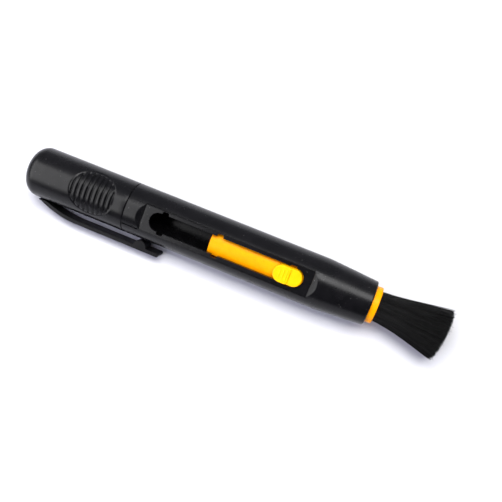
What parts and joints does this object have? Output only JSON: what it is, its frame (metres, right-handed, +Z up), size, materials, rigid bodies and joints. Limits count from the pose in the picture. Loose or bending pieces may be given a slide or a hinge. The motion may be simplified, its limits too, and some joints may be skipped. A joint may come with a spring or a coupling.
{
  "type": "lens cleaning pen",
  "caption": "Pen for cleaning lenses: a dusting brush slides out of the nose on a thumb button, and a clipped cap covers a tilting carbon polishing tip.",
  "frame": {"origin": "on the table, under the centre of the whole pen's box, with the brush out and the cap on", "axes": "+X along the pen from the cap to the brush, +Z up from the table; the pen lies on its barrel and its pocket clip, with the thumb slot facing up and to -Y"},
  "size_m": [0.1368, 0.0191, 0.017],
  "materials": {
    "gloss_black": "moulded black plastic, satin gloss, fine scuffs",
    "matt_black": "moulded black plastic, matt",
    "orange_plastic": "moulded orange-yellow plastic, soft gloss",
    "yellow_plastic": "moulded bright yellow plastic, soft gloss",
    "rubber": "black elastomer",
    "foam": "closed-cell grey foam",
    "chamois": "chamois charged with carbon",
    "carbon_felt": "felt charged with carbon powder",
    "plated_steel": "drawn and plated",
    "amber_resin": "cured resin",
    "black_bristle": "soft black hair"
  },
  "bodies": {
    "body": {"barrel": "gloss_black", "tail_plug": "matt_black", "tip_neck": "rubber"},
    "tip": {"tip_disc": "matt_black", "tip_cushion": "foam", "tip_chamois": "chamois"},
    "ring": {"cap_ring": "rubber"},
    "cap": {"cap_shell": "gloss_black", "cap_liner": "matt_black", "carbon_pad": "carbon_felt"},
    "clip": {"pocket_clip": "gloss_black"},
    "slider": {"slider_carriage": "orange_plastic", "thumb_button": "yellow_plastic", "brush_collar": "orange_plastic", "brush_ferrule": "plated_steel", "brush_glue": "amber_resin", "bristle_tuft": "black_bristle"}
  },
  "joints": [
    {"name": "brush_slide", "type": "slide", "parent": "body", "child": "slider", "axis": [-1, 0, 0], "range_m": [0, 0.0235], "deforming": ["bristle_tuft"]},
    {"name": "cap_twist", "type": "hinge", "parent": "body", "child": "ring", "pos_m": [-0.0399, 0.00158, 0.00796], "axis": [1, 0, 0], "continuous": true},
    {"name": "cap_pull", "type": "slide", "parent": "ring", "child": "cap", "axis": [-1, 0, 0], "range_m": [0, 0.04]},
    {"name": "clip_flex", "type": "hinge", "parent": "cap", "child": "clip", "pos_m": [-0.0609, -0.00564, 0.00367], "axis": [0, 0.5106, -0.8598], "range_deg": [0, 4], "stiffness_Nm_per_rad": 0.8},
    {"name": "tip_tilt", "type": "hinge", "parent": "body", "child": "tip", "pos_m": [-0.0545, 0.00158, 0.00796], "axis": [0, 1, 0], "range_deg": [-5, 5], "stiffness_Nm_per_rad": 0.05, "deforming": ["tip_neck"]}
  ]
}
